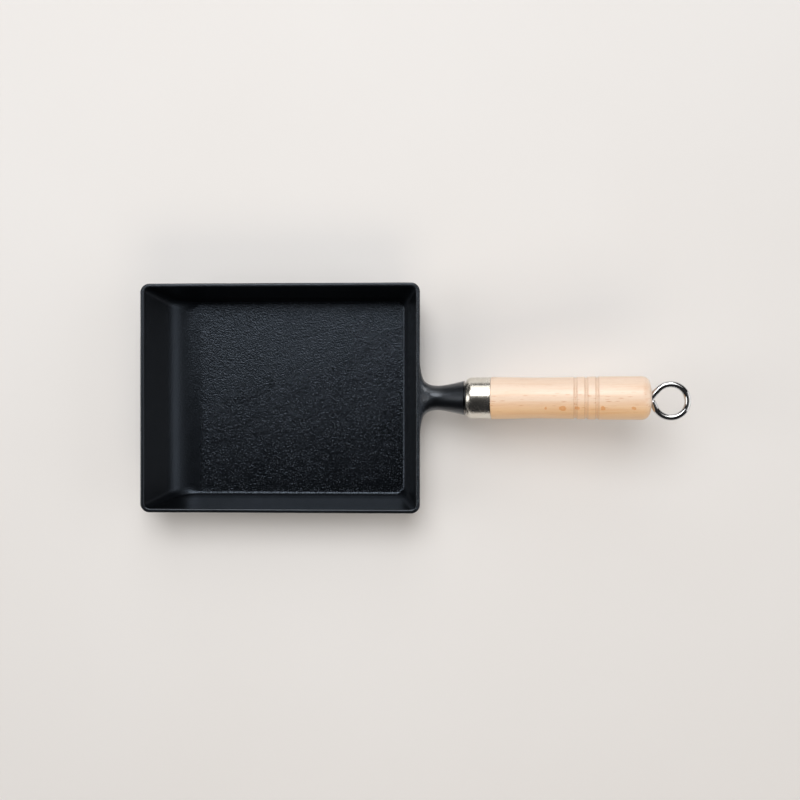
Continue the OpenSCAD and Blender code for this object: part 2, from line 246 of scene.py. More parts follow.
def joined_casting():
    """The shell and the neck fused into one closed skin, with a faint unevenness from the sand
    mould that stays inside the true sizes."""
    shell = closed_grid("pan_casting", shell_surface())
    neck = closed_grid("neck_form", neck_surface())
    fuse = shell.modifiers.new("fuse", "BOOLEAN")
    fuse.operation, fuse.object, fuse.solver = "UNION", neck, "EXACT"
    worked_out = shell.evaluated_get(bpy.context.evaluated_depsgraph_get())
    fused = bpy.data.meshes.new_from_object(worked_out)
    shell.modifiers.clear()
    shell.data = fused
    bpy.data.objects.remove(neck)
    points = np.empty(len(fused.vertices) * 3)
    fused.vertices.foreach_get("co", points)
    points = points.reshape(-1, 3)
    uneven = MOULD_UNEVEN * soft_noise(points, seed=7, waves=40, shortest=0.008, longest=0.05)
    # The last millimetre of the neck, the seat and the tang are filed true
    uneven[(points - SEAT) @ AXIS > -SEAT_H - 0.001] = 0
    low, high = (np.array(corner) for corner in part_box("pan"))
    points = np.clip(points + uneven, low, high)
    fused.vertices.foreach_set("co", points.ravel())
    fused.update()
    return shell


def material(name):
    """A new material, with its node tree emptied, and its Principled shader and output linked."""
    made = bpy.data.materials.new(name)
    made.use_nodes = True
    tree = made.node_tree
    tree.nodes.clear()
    shader = tree.nodes.new("ShaderNodeBsdfPrincipled")
    output = tree.nodes.new("ShaderNodeOutputMaterial")
    tree.links.new(shader.outputs["BSDF"], output.inputs["Surface"])
    return made, tree, shader


def add(tree, kind, settings=None, **inputs):
    """A node of that kind. Settings are its own properties; inputs are numbers, or the sockets
    of other nodes, by socket name with underscores for spaces, or by number as i0, i1 and so on."""
    made = tree.nodes.new("ShaderNode" + kind)
    for key, value in (settings or {}).items():
        setattr(made, key, value)
    for key, value in inputs.items():
        numbered = key[0] == "i" and key[1:].isdigit()
        socket = made.inputs[int(key[1:]) if numbered else key.replace("_", " ")]
        if isinstance(value, bpy.types.NodeSocket):
            tree.links.new(value, socket)
        else:
            socket.default_value = value
    return made


def ramp(tree, factor, *stops):
    """A colour ramp through the given (position, grey or colour) stops."""
    made = add(tree, "ValToRGB", Fac=factor)
    elements = made.color_ramp.elements
    for i, (place, colour) in enumerate(stops):
        element = elements[i] if i < 2 else elements.new(place)
        element.position = place
        element.color = (colour,) * 3 + (1,) if np.isscalar(colour) else (*colour, 1)
    return made.outputs["Color"]


def calc(tree, operation, *values):
    """The result of one sum on the given numbers or sockets, in order."""
    inputs = {f"i{number}": value for number, value in enumerate(values)}
    return add(tree, "Math", {"operation": operation}, **inputs).outputs[0]


def spread(tree, value, start, end, low=0.0, high=1.0):
    """Where the value lies between start and end, carried over to the range from low to high."""
    made = add(tree, "MapRange", Value=value, From_Min=start, From_Max=end, To_Min=low, To_Max=high)
    return made.outputs[0]


def fade(tree, value, start, end, full=1.0):
    """Nothing at start and full at end, with a soft S between them."""
    soft = {"interpolation_type": "SMOOTHSTEP"}
    made = add(tree, "MapRange", soft, Value=value, From_Min=start, From_Max=end, To_Max=full)
    return made.outputs[0]


def blend(tree, share, base, colour, mode="MIX"):
    """The base colour with that share of another laid over it."""
    made = add(tree, "MixRGB", {"blend_type": mode}, Fac=share, Color1=base, Color2=(*colour, 1))
    return made.outputs[0]


def effect(name, inputs, outputs, build):
    """A shader node group for an effect that more than one material uses. Each input has the kind
    of its socket and a first value; build(tree, inputs) gives what feeds the outputs, in order."""
    group = bpy.data.node_groups.new(name, "ShaderNodeTree")
    for label, (kind, default) in inputs.items():
        socket = group.interface.new_socket(label, in_out="INPUT", socket_type=kind)
        socket.default_value = default
    for label in outputs:
        group.interface.new_socket(label, in_out="OUTPUT", socket_type="NodeSocketFloat")
    entry, leave = group.nodes.new("NodeGroupInput"), group.nodes.new("NodeGroupOutput")
    for socket, made in zip(leave.inputs, build(group, entry.outputs)):
        group.links.new(made, socket)
    return group


def uneven_polish_nodes(tree, values):
    """A cloud of noise, and a roughness that goes from its smoothest to its roughest while the
    cloud goes from 0.3 to the given end."""
    cloud = add(
        tree,
        "TexNoise",
        Vector=values["Place"],
        Scale=values["Scale"],
        Detail=values["Detail"],
        Roughness=values["Grain"],
    ).outputs["Fac"]
    return cloud, spread(tree, cloud, 0.3, values["End"], values["Smoothest"], values["Roughest"])


uneven_polish = effect(
    "uneven_polish",
    {
        "Place": ("NodeSocketVector", (0, 0, 0)),
        "Scale": ("NodeSocketFloat", 100.0),
        "Detail": ("NodeSocketFloat", 4.0),
        "Grain": ("NodeSocketFloat", 0.6),
        "End": ("NodeSocketFloat", 0.7),
        "Smoothest": ("NodeSocketFloat", 0.2),
        "Roughest": ("NodeSocketFloat", 0.4),
    },
    ("Cloud", "Polish"),
    uneven_polish_nodes,
)

GRIT_SCALE, GRIT_HEIGHT = 1150.0, 0.000122
# Where each zone of the casting's finish is nothing and where it is full, in x or in z
FLOOR_ZONE, FRONT_ZONE, WEB_ZONE = (0.0052, 0.0041), (-0.0570, -0.0510), (0.0975, 0.0885)
FOOT_ZONE, RAKED_FOOT_ZONE, NECK_ZONE = (0.0040, 0.0043), (-0.066, -0.058), (0.0865, 0.0885)
WALL_ZONE = (0.010, 0.0145)


def sand_grit(tree, place):
    """Height of a grainy surface, which is pebbles on fine noise on a softer swell, and a sparse
    mask of the grains that stand proud, on which glints are painted."""
    fine = add(tree, "TexNoise", Vector=place, Scale=GRIT_SCALE, Detail=1.0, Roughness=0.5)
    swell = add(tree, "TexNoise", Vector=place, Scale=GRIT_SCALE * 0.32, Detail=1.0, Roughness=0.5)
    rounded = {"feature": "SMOOTH_F1"}
    pebbles = add(tree, "TexVoronoi", rounded, Vector=place, Scale=GRIT_SCALE, Smoothness=0.6)
    proud = ramp(tree, pebbles.outputs["Distance"], (0.0, 1.0), (0.75, 0.0))
    height = spread(tree, fine.outputs["Fac"], 0.25, 0.75)
    height = calc(tree, "MULTIPLY_ADD", swell.outputs["Fac"], 0.7, height)
    height = calc(tree, "MULTIPLY_ADD", proud, 0.8, height)
    return height, ramp(tree, fine.outputs["Fac"], (0.60, 0.0), (0.74, 1.0))


def baked_iron():
    """Black baked iron. The floor and the neck's web keep the sand's pebbly grain, with its proud
    grains burnished and dotted paler as painted glints; the walls and the neck are smoother under
    a glossier coat. Each zone is a mask made from x or z, and adds its own share to the roughness,
    the gloss and the grain."""
    made, tree, shader = material("baked_iron")
    place = add(tree, "TexCoord").outputs["Object"]
    x, y, z = add(tree, "SeparateXYZ", Vector=place).outputs[:3]
    # The flat floor, which falls off over the first millimetre of its fillets
    behind_front = fade(tree, x, *FRONT_ZONE)
    floor = calc(tree, "MULTIPLY", fade(tree, z, *FLOOR_ZONE), behind_front)
    # The web, where the neck leaves the rim
    past_rim = calc(tree, "GREATER_THAN", x, PAN_LEN / 2 - RIM)
    web = calc(tree, "MULTIPLY", fade(tree, x, *WEB_ZONE), past_rim)
    grainy = calc(tree, "MAXIMUM", floor, web)
    # The narrow fillet round the floor and the foot of the raked wall, both scraped bright
    foot = calc(tree, "MULTIPLY", fade(tree, z, *FOOT_ZONE), floor)
    raked_foot = calc(tree, "SUBTRACT", fade(tree, x, *RAKED_FOOT_ZONE), behind_front)
    # The neck, filed smooth
    neck = fade(tree, x, *NECK_ZONE)

    height, glint_specks = sand_grit(tree, place)
    clouds = add(
        tree, "Group", {"node_tree": uneven_polish}, Place=place, Scale=28.0, Smoothest=0.32, Roughest=0.38
    )
    darker, paler = (0.0010, 0.0013, 0.0018), (0.0018, 0.0022, 0.0028)
    tone = ramp(tree, clouds.outputs["Cloud"], (0.3, darker), (0.7, paler))
    # Painted glints: paler dots on the proud grains of the floor and the web
    glint_specks = calc(tree, "MULTIPLY", glint_specks, grainy)
    tree.links.new(blend(tree, glint_specks, tone, (0.030, 0.034, 0.040)), shader.inputs["Base Color"])
    # The grainy zones are burnished, most of all towards the neck's end of the near side
    worn = calc(tree, "MULTIPLY_ADD", y, -2.4, x)
    worn = calc(tree, "MULTIPLY", grainy, spread(tree, worn, -0.09, 0.20, -0.045, -0.16))
    rough = calc(tree, "ADD", worn, clouds.outputs["Polish"])
    for zone, rougher in ((web, 0.12), (foot, -0.14), (raked_foot, -0.05), (neck, -0.02)):
        rough = calc(tree, "MULTIPLY_ADD", zone, rougher, rough)
    tree.links.new(rough, shader.inputs["Roughness"])
    gloss = calc(tree, "MULTIPLY_ADD", neck, 0.35, fade(tree, z, *WALL_ZONE, full=0.5))
    tree.links.new(gloss, shader.inputs["Coat Weight"])
    shader.inputs["Coat Roughness"].default_value = 0.3
    shader.inputs["Specular IOR Level"].default_value = 0.57
    shader.inputs["Specular Tint"].default_value = (0.68, 0.81, 1.0, 1.0)
    # The grain is strongest on the web, and wears down where the floor is burnished
    relief = spread(tree, grainy, 0.0, 1.0, 0.4, 1.05)
    relief = calc(tree, "MULTIPLY_ADD", worn, 1.5, relief)
    relief = calc(tree, "ADD", web, relief)
    height = calc(tree, "MULTIPLY", height, relief)
    bump = add(tree, "Bump", Height=height, Strength=1.0, Distance=GRIT_HEIGHT)
    tree.links.new(bump.outputs["Normal"], shader.inputs["Normal"])
    return made


pan_casting = joined_casting()
smooth_but_sharp(pan_casting, 40)
pan_casting.data.materials.append(baked_iron())
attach(pan_casting, "pan_casting")
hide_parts("pan")


# The ferrule
# A cup drawn from thin steel sheet, with a rounded shoulder and a square hole pierced for the
# tang, nickel-plated and softly polished. It is pushed over the front of the grip, keeps the
# wood from splitting and bears on the neck's seat.
FERRULE_R, FERRULE_LEN, SHEET, SHOULDER, TANG_ROOM = 0.0128, 0.0157, 0.0008, 0.003, 0.0003
SHOULDER_RUN = 0.0044


def quarter(steps):
    """Sines and cosines along a quarter turn."""
    a = np.linspace(0, np.pi / 2, steps)
    return np.sin(a), np.cos(a)


def ferrule_surface():
    """The sheet's closed section carried round the axis: the outer face from the pierced hole
    over the shoulder to the rolled lip, and the inner face back. At the hole the section's
    radius follows the tang's rectangle."""
    angle = np.linspace(0, 2 * np.pi, 144, endpoint=False)
    hole = bar_radius(angle, TANG_HALF_W + TANG_ROOM, TANG_HALF_T + TANG_ROOM)
    sin, cos = quarter(13)
    lip = SHEET * 0.35
    flat = FERRULE_R - SHOULDER
    rows = [(0.0, hole + lip * 0.5), (0.0, hole + (flat - hole) * 0.5)]
    rows += [(SHOULDER_RUN * (1 - c), flat + SHOULDER * s) for s, c in zip(sin, cos)]
    rows += [(s, FERRULE_R) for s in np.linspace(SHOULDER_RUN + 0.0005, FERRULE_LEN - lip, 10)]
    rows += [(FERRULE_LEN - lip * (1 - s), FERRULE_R - lip * (1 - c)) for s, c in zip(sin[4::4], cos[4::4])]
    rows += [(FERRULE_LEN, FERRULE_R - SHEET + lip * 0.3), (FERRULE_LEN - lip * 0.3, FERRULE_R - SHEET)]
    rows += [(s, FERRULE_R - SHEET) for s in np.linspace(FERRULE_LEN - 0.001, SHOULDER + 0.0002, 6)]
    inside = SHOULDER - SHEET
    rows += [(SHEET + inside * (1 - c), flat + inside * s) for s, c in zip(sin[::-2], cos[::-2])]
    rows += [(SHEET, hole + (flat - hole) * 0.5), (SHEET, hole + lip * 0.5)]
    rows += [(SHEET - lip * 0.5, hole), (lip * 0.5, hole)]
    return np.stack([along_handle(s, r, angle) for s, r in rows])


def handle_axes(tree):
    """Object coordinates turned so that X runs along the handle and YZ lie across it."""
    place = add(tree, "TexCoord").outputs["Object"]
    from_seat = add(tree, "VectorMath", {"operation": "SUBTRACT"}, i0=place, i1=tuple(SEAT))
    return add(tree, "Mapping", Vector=from_seat.outputs[0], Rotation=(0, TILT, 0)).outputs[0]


def polished_nickel():
    """Warm plated nickel: softly polished round the cup, which leaves faint rings, with a few
    cloudy rubbed patches."""
    made, tree, shader = material("polished_nickel")
    axes = handle_axes(tree)
    rings = add(tree, "Mapping", Vector=axes, Scale=(5200, 60, 60))
    lines = add(tree, "TexNoise", Vector=rings.outputs[0], Scale=1.0, Detail=2.0, Roughness=0.6)
    clouds = add(
        tree,
        "Group",
        {"node_tree": uneven_polish},
        Place=axes,
        Scale=260.0,
        Detail=3.0,
        Smoothest=0.21,
        Roughest=0.29,
    )
    tone = ramp(tree, clouds.outputs["Cloud"], (0.3, (0.73, 0.69, 0.61)), (0.7, (0.82, 0.785, 0.715)))
    tree.links.new(tone, shader.inputs["Base Color"])
    shader.inputs["Metallic"].default_value = 1.0
    tree.links.new(clouds.outputs["Polish"], shader.inputs["Roughness"])
    bump = add(tree, "Bump", Height=lines.outputs["Fac"], Strength=0.12, Distance=0.00003)
    tree.links.new(bump.outputs["Normal"], shader.inputs["Normal"])
    return made


ferrule = closed_grid("ferrule_cup", ferrule_surface(), wrap_rows=True)
smooth_but_sharp(ferrule, 50)
ferrule.data.materials.append(polished_nickel())
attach(ferrule, "handle")
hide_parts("ferrule")


# The grip
# Beech turned on a lathe, with a spigot inside the ferrule, a shallow waist, three decorative
# grooves and a rounded end, then lacquered. A square mortise takes the tang, and a bore with a
# countersunk mouth takes the ring bolt that clamps it to the neck.
SPIGOT_FIT, MORTISE_ROOM, BORE_ROOM = 0.00005, 0.001, 0.00035
SPIGOT_R, SPIGOT_START = FERRULE_R - SHEET - SPIGOT_FIT, SHEET + SPIGOT_FIT
GRIP_LEN = 0.0967
GRIP_END = FERRULE_LEN + GRIP_LEN
GRIP_FRONT, GRIP_WAIST, GRIP_BACK = 0.0131, 0.0126, 0.0133
GRIP_WAIST_AT, GRIP_SWELL_AT = 0.0295, 0.0765
GROOVES_AT, GROOVE_PITCH, GROOVE_COUNT, GROOVE_W, GROOVE_DEPTH = 0.0512, 0.00645, 3, 0.0028, 0.0006
GROOVES_END = GROOVES_AT + (GROOVE_COUNT - 1) * GROOVE_PITCH
GRIP_EDGE, GRIP_DOME = 0.0055, 0.0007
BORE_R, SINK_SLOPE = WIRE_R + BORE_ROOM, 1.4
EYE_R, EYE_ANGLE, EYE_ASIDE, EYE_SUNK = 0.010, np.radians(57.5), 0.0018, 0.0005
EYE_REACH = EYE_R / np.sin(EYE_ANGLE)
EYE_SWING = np.arcsin(EYE_ASIDE / EYE_REACH)
FIRST_RUN, SECOND_RUN = EYE_ANGLE - EYE_SWING, EYE_ANGLE + EYE_SWING
SINK_R = WIRE_R / np.cos(SECOND_RUN) + (WIRE_R + EYE_SUNK) * 0.6
SINK_DEPTH = (SINK_R - BORE_R) / SINK_SLOPE
# Where the amber flakes lie behind the seat, and their half lengths
FLAKES = ((0.0492, 0.0011), (0.0593, 0.0024), (0.0680, 0.0016), (0.0833, 0.0017), (0.1012, 0.0017))
FLAKE_SHAPE, FLAKE_ASIDE, FLAKE_RAGGED = np.array([1, 0.8, 2]), -0.0062, 0.0020


def grip_outline(g):
    """Radius of the turned outline at distance g behind the ferrule, without its grooves: two
    half waves of a cosine, down to the waist and up to the swell."""
    to_waist = (1 + np.cos(np.pi * np.minimum(1, g / GRIP_WAIST_AT))) / 2
    past_waist = np.clip((g - GRIP_WAIST_AT) / (GRIP_SWELL_AT - GRIP_WAIST_AT), 0, 1)
    to_swell = (1 + np.cos(np.pi * past_waist)) / 2
    return np.where(
        g < GRIP_WAIST_AT,
        GRIP_WAIST + (GRIP_FRONT - GRIP_WAIST) * to_waist,
        GRIP_BACK + (GRIP_WAIST - GRIP_BACK) * to_swell,
    )


def groove_share(g):
    """How deep in a groove a point of the outline lies, from 0 outside to 1 at its bottom. Each
    groove is one whole wave of a cosine, sharpened at its two edges."""
    share = np.zeros_like(g)
    for i in range(GROOVE_COUNT):
        q = np.clip((g - GROOVES_AT - i * GROOVE_PITCH) / (GROOVE_W / 2), -1, 1)
        share = np.maximum(share, (1 + np.cos(np.pi * q)) / 2)
    return share


def grip_surface():
    """The turned section carried round the axis, as one closed skin: from the mortise's floor out
    of its mouth, round the spigot, along the outline, over the end, and back down the bore."""
    angle = np.linspace(0, 2 * np.pi, 160, endpoint=False)
    mortise = bar_radius(angle, TANG_HALF_W + TANG_ROOM, TANG_HALF_T + TANG_ROOM)
    mortise_end = TANG_LEN + MORTISE_ROOM
    sin, cos = quarter(9)
    # The spigot's rounding, the mortise's broken edges and the front edge's chamfer
    rounding, broken, chamfer = SHOULDER - SHEET, 0.0002, 0.00025
    rows = [(mortise_end, BORE_R + broken), (mortise_end, mortise - broken)]
    rows += [(s, mortise) for s in np.linspace(mortise_end - broken, SPIGOT_START + broken, 12)]
    rows += [(SPIGOT_START, mortise + broken)]
    rows += [
        (SPIGOT_START + rounding * (1 - c), SPIGOT_R - rounding * (1 - s)) for s, c in zip(sin, cos)
    ]
    rows += [(s, SPIGOT_R) for s in np.linspace(SPIGOT_START + rounding + 0.0005, FERRULE_LEN, 5)]
    rows += [(FERRULE_LEN, GRIP_FRONT - chamfer)]
    edge_start = GRIP_LEN - GRIP_DOME - GRIP_EDGE
    g = np.concatenate(
        [
            np.linspace(chamfer, GROOVES_AT - GROOVE_W, 36),
            np.linspace(GROOVES_AT - GROOVE_W * 0.8, GROOVES_END + GROOVE_W * 0.8, 150),
            np.linspace(GROOVES_END + GROOVE_W, edge_start, 16),
        ]
    )
    outline = grip_outline(g) - GROOVE_DEPTH * groove_share(g)
    rows += list(zip(FERRULE_LEN + g, outline))
    sin, cos = quarter(15)
    back = float(grip_outline(np.array(edge_start)))
    rows += [
        (FERRULE_LEN + edge_start + GRIP_EDGE * s, back - GRIP_EDGE * (1 - c))
        for s, c in zip(sin[1:], cos[1:])
    ]
    flat = back - GRIP_EDGE
    rows += [(GRIP_END - GRIP_DOME * (r / flat) ** 2, r) for r in np.linspace(flat, SINK_R, 7)[1:]]
    rows += [(GRIP_END - SINK_DEPTH * t, SINK_R + (BORE_R - SINK_R) * t) for t in np.linspace(0.1, 1, 6)]
    rows += [(s, BORE_R) for s in np.linspace(GRIP_END - SINK_DEPTH - 0.001, mortise_end + 0.0003, 40)]
    return np.stack([along_handle(s, r, angle) for s, r in rows])


def lacquered_beech():
    """Pale beech under a clear satin lacquer: fine straight grain, short brown ray flecks that
    lie along it, a few larger amber flakes, and painted shade as a dark line at the edges of the grooves."""
    made, tree, shader = material("lacquered_beech")
    axes = handle_axes(tree)
    # Soft bands of growth, bent a little by a slow noise
    drift = add(tree, "TexNoise", Vector=axes, Scale=14.0, Detail=2.0)
    bands_at = add(tree, "Mapping", Vector=axes, Scale=(9, 330, 300), Rotation=(0.35, 0, 0))
    bent = add(tree, "VectorMath", {"operation": "ADD"}, i0=bands_at.outputs[0], i1=drift.outputs["Color"])
    bands = add(tree, "TexNoise", Vector=bent.outputs[0], Scale=1.0, Detail=4.0, Roughness=0.6)
    tone = ramp(
        tree,
        bands.outputs["Fac"],
        (0.28, (0.86, 0.60, 0.42)),
        (0.75, (0.925, 0.745, 0.60)),
        (0.5, (0.915, 0.705, 0.55)),
    )
    # Painted shade: the near side, turned away from the window, is painted warmer and darker
    across = add(tree, "SeparateXYZ", Vector=axes).outputs["Y"]
    tone = blend(tree, fade(tree, across, 0.0, -0.0095), tone, (1.03, 0.86, 0.60), "MULTIPLY")
    # Vessel lines: very fine, long and faint
    pores_at = add(tree, "Mapping", Vector=axes, Scale=(160, 4200, 4200))
    pores = add(tree, "TexNoise", Vector=pores_at.outputs[0], Scale=1.0, Detail=2.0, Roughness=0.7)
    pore_mask = ramp(tree, pores.outputs["Fac"], (0.55, 0.0), (0.75, 0.35))
    tone = blend(tree, pore_mask, tone, (0.62, 0.35, 0.17))
    # Ray flecks: lens-shaped cells, of which only some are coloured, most of them near the top
    flecks_at = add(tree, "Mapping", Vector=axes, Scale=(160, 1150, 1150), Rotation=(0, 0, 0.05))
    cells = add(tree, "TexVoronoi", {"feature": "F1"}, Vector=flecks_at.outputs[0], Scale=1.0)
    lens = ramp(tree, cells.outputs["Distance"], (0.14, 1.0), (0.36, 0.0))
    chosen = add(tree, "SeparateColor", Color=cells.outputs["Color"])
    some = ramp(tree, chosen.outputs[0], (0.62, 0.0), (0.68, 1.0))
    from_top = calc(tree, "ABSOLUTE", calc(tree, "ADD", across, 0.002))
    fleck = calc(tree, "MULTIPLY", lens, some)
    fleck = calc(tree, "MULTIPLY", fleck, spread(tree, from_top, 0.003, 0.007, 0.66, 0.12))
    tone = blend(tree, fleck, tone, (0.62, 0.26, 0.08))
    # A row of amber flakes, where one broad ray lies flat in the surface: ellipsoids round points
    # on the waist's circle, made ragged by a noise. The nearest one's edge is where its reach is 1
    ragged = add(tree, "TexNoise", Vector=axes, Scale=500.0, Detail=3.0).outputs["Color"]
    ragged = add(
        tree, "VectorMath", {"operation": "MULTIPLY_ADD"}, i0=ragged, i1=(FLAKE_RAGGED,) * 3, i2=axes
    ).outputs[0]
    nearest = 9.0
    for at, half in FLAKES:
        size = half * FLAKE_SHAPE
        middle = np.array([at, FLAKE_ASIDE, np.sqrt(GRIP_WAIST**2 - FLAKE_ASIDE**2)]) + FLAKE_RAGGED / 2
        moved = {"Location": tuple(-middle / size), "Scale": tuple(1 / size)}
        flake_at = add(tree, "Mapping", Vector=ragged, **moved)
        reach = add(tree, "VectorMath", {"operation": "LENGTH"}, i0=flake_at.outputs[0])
        nearest = calc(tree, "MINIMUM", reach.outputs["Value"], nearest)
    amber = ramp(tree, nearest, (0.2, 0.5), (1.0, 0.0), (0.65, 0.7))
    tone = blend(tree, amber, tone, (0.76, 0.28, 0.05))
    # Painted shade: a dark line at both edges of each groove, and a fainter darkening along its bottom
    groove = add(tree, "Attribute", {"attribute_name": "groove"})
    deep = ramp(tree, groove.outputs["Fac"], (0.02, 0.0), (0.14, 0.50), (0.40, 0.16), (1.0, 0.12))
    tone = blend(tree, deep, tone, (0.46, 0.22, 0.10))
    tree.links.new(tone, shader.inputs["Base Color"])
    shader.inputs["Roughness"].default_value = 0.42
    shader.inputs["Coat Weight"].default_value = 0.6
    shader.inputs["Coat Roughness"].default_value = 0.28
    height = calc(tree, "MULTIPLY_ADD", pores.outputs["Fac"], 0.4, bands.outputs["Fac"])
    bump = add(tree, "Bump", Height=height, Strength=0.10, Distance=0.00006)
    tree.links.new(bump.outputs["Normal"], shader.inputs["Normal"])
    return made


grip = closed_grid("turned_grip", grip_surface(), wrap_rows=True)
grip_points = np.empty(len(grip.data.vertices) * 3)
grip.data.vertices.foreach_get("co", grip_points)
behind_ferrule = (grip_points.reshape(-1, 3) - SEAT) @ AXIS - FERRULE_LEN
groove_depth = grip.data.attributes.new("groove", "FLOAT", "POINT")
groove_depth.data.foreach_set("value", groove_share(behind_ferrule).astype(np.float32))
smooth_but_sharp(grip, 38)
grip.data.materials.append(lacquered_beech())
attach(grip, "handle")
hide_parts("grip")


# The ring bolt
# One length of bright plated wire. Its tip has a rolled right-hand thread, its long bolt runs
# through the grip into the tang, and its other end is bent into the hanging eye, whose cut end
# butts against the bend. Turning the eye clamps or frees the grip.
BEND_R, CUT_GAP = 0.0035, 0.0004
THREAD_DEPTH, THREAD_RUN_OUT, THREAD_FADE = 0.00036, 0.0025, 0.0008
TIP_CHAMFER, THREAD_EASE = 0.0006, 0.00002
CORNER_AT = GRIP_END - EYE_SUNK
BEND_LEN = BEND_R * np.tan(FIRST_RUN / 2)
RUN_LEN = EYE_R / np.tan(EYE_ANGLE)
CUT_AT = BEND_R * (1 - np.sin(SECOND_RUN)) + WIRE_R + CUT_GAP - BEND_LEN * np.cos(SECOND_RUN)


def arc(centre, radius, start, end, steps):
    """Places and headings along an arc, as (along the handle, across it). A falling angle runs
    clockwise."""
    a = np.linspace(start, end, steps)
    place = np.stack([centre[0] + radius * np.cos(a), centre[1] + radius * np.sin(a)], axis=1)
    heading = np.stack([-np.sin(a), np.cos(a)], axis=1) * np.sign(end - start)
    return place, heading


def line(start, end, steps):
    """Places and headings along a straight stretch."""
    start, end = np.asarray(start, float), np.asarray(end, float)
    place = start + (end - start) * np.linspace(0, 1, steps)[:, None]
    return place, np.tile((end - start) / np.linalg.norm(end - start), (steps, 1))


def thread_radius(s, angle):
    """Radius of the threaded tip: a triangle wave in the distance along the wire less the pitch
    for each turn, which fades out into the plain bolt, with a chamfered start."""
    phase = (s / PITCH - angle / (2 * np.pi)) % 1
    depth = THREAD_DEPTH * (1 - np.abs(2 * phase - 1))
    past_tip = s - TIP_AT
    left = np.clip((THREAD_LEN + THREAD_RUN_OUT - past_tip) / THREAD_FADE, 0, 1)
    chamfer = np.clip(TIP_CHAMFER - past_tip, 0, None)
    return WIRE_R - THREAD_EASE - np.maximum(depth * left, chamfer)


def ring_bolt_surface():
    """A round section carried along the bent wire: bolt, bend, straight run, eye and second run.
    Each ring stands square to the wire's heading, with the handle's up as one of its axes."""
    away = np.array([np.cos(FIRST_RUN), np.sin(FIRST_RUN)])
    back = np.array([np.cos(SECOND_RUN), -np.sin(SECOND_RUN)])
    corner = np.array([CORNER_AT, 0])
    middle = corner + EYE_REACH * np.array([np.cos(EYE_SWING), -np.sin(EYE_SWING)])
    bend_at = CORNER_AT - BEND_LEN
    past_thread = TIP_AT + THREAD_LEN + 0.003
    quarter_turn = np.pi / 2
    stretches = [
        line((TIP_AT, 0), (past_thread, 0), 180),
        line((past_thread, 0), (bend_at, 0), 30),
        arc((bend_at, BEND_R), BEND_R, -quarter_turn, FIRST_RUN - quarter_turn, 14),
        line(corner + away * BEND_LEN, corner + away * RUN_LEN, 6),
        arc(middle, EYE_R, quarter_turn + FIRST_RUN, -quarter_turn - SECOND_RUN, 110),
        line(corner + back * RUN_LEN, corner + back * (CUT_AT + 0.0003), 8),
    ]
    place = np.concatenate([p if i == 0 else p[1:] for i, (p, _) in enumerate(stretches)])
    heading = np.concatenate([h if i == 0 else h[1:] for i, (_, h) in enumerate(stretches)])
    columns = 40
    angle = np.linspace(0, 2 * np.pi, columns, endpoint=False)
    bolt_rows = len(stretches[0][0]) + len(stretches[1][0]) - 1
    on_bolt = np.arange(len(place))[:, None] < bolt_rows
    radius = np.where(on_bolt, thread_radius(place[:, :1], angle), WIRE_R)
    # The cut end has a slight chamfer
    cut = corner + back * CUT_AT
    place = np.concatenate([place, [cut, cut]])
    heading = np.concatenate([heading, heading[-1:], heading[-1:]])
    cut_radii = np.array([[WIRE_R - 0.0003], [WIRE_R * 0.2]])
    radius = np.concatenate([radius, np.tile(cut_radii, (1, columns))])
    centre = SEAT + place[:, :1] * AXIS + place[:, 1:] * ACROSS
    forward = heading[:, :1] * AXIS + heading[:, 1:] * ACROSS
    side = np.cross(forward, UP)
    ring = np.cos(angle)[None, :, None] * UP + np.sin(angle)[None, :, None] * side[:, None, :]
    low, high = (np.array(corner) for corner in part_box("ring_bolt"))
    return np.clip(centre[:, None, :] + radius[..., None] * ring, low, high)


def bright_steel():
    """Mirror-bright plated wire, with hair scratches from handling."""
    made, tree, shader = material("bright_steel")
    axes = handle_axes(tree)
    clouds = add(
        tree,
        "Group",
        {"node_tree": uneven_polish},
        Place=axes,
        Scale=420.0,
        Grain=0.65,
        End=0.75,
        Smoothest=0.045,
        Roughest=0.12,
    )
    tone = ramp(tree, clouds.outputs["Cloud"], (0.3, (0.66, 0.66, 0.665)), (0.7, (0.76, 0.76, 0.765)))
    tree.links.new(tone, shader.inputs["Base Color"])
    shader.inputs["Metallic"].default_value = 1.0
    tree.links.new(clouds.outputs["Polish"], shader.inputs["Roughness"])
    hair_at = add(tree, "Mapping", Vector=axes, Scale=(300, 5000, 2600), Rotation=(0.4, 0.2, 0.5))
    hair = add(tree, "TexNoise", Vector=hair_at.outputs[0], Scale=1.0, Detail=2.0)
    bump = add(tree, "Bump", Height=hair.outputs["Fac"], Strength=0.05, Distance=0.00002)
    tree.links.new(bump.outputs["Normal"], shader.inputs["Normal"])
    return made


ring_bolt = closed_grid("ring_bolt_wire", ring_bolt_surface())
smooth_but_sharp(ring_bolt, 45)
ring_bolt.data.materials.append(bright_steel())
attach(ring_bolt, "eye_bolt")
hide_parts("ring_bolt")


# The studio
# A plain pale table that the pan stands on, a large soft window beyond the pan and a little to
# its left, a lamp almost overhead, pale cards at both sides and a low warm fill, and a camera
# straight above, as in the photograph.
TABLE_HALF, TABLE_BELOW, PALE = 3.0, 0.0002, (0.80, 0.785, 0.775)


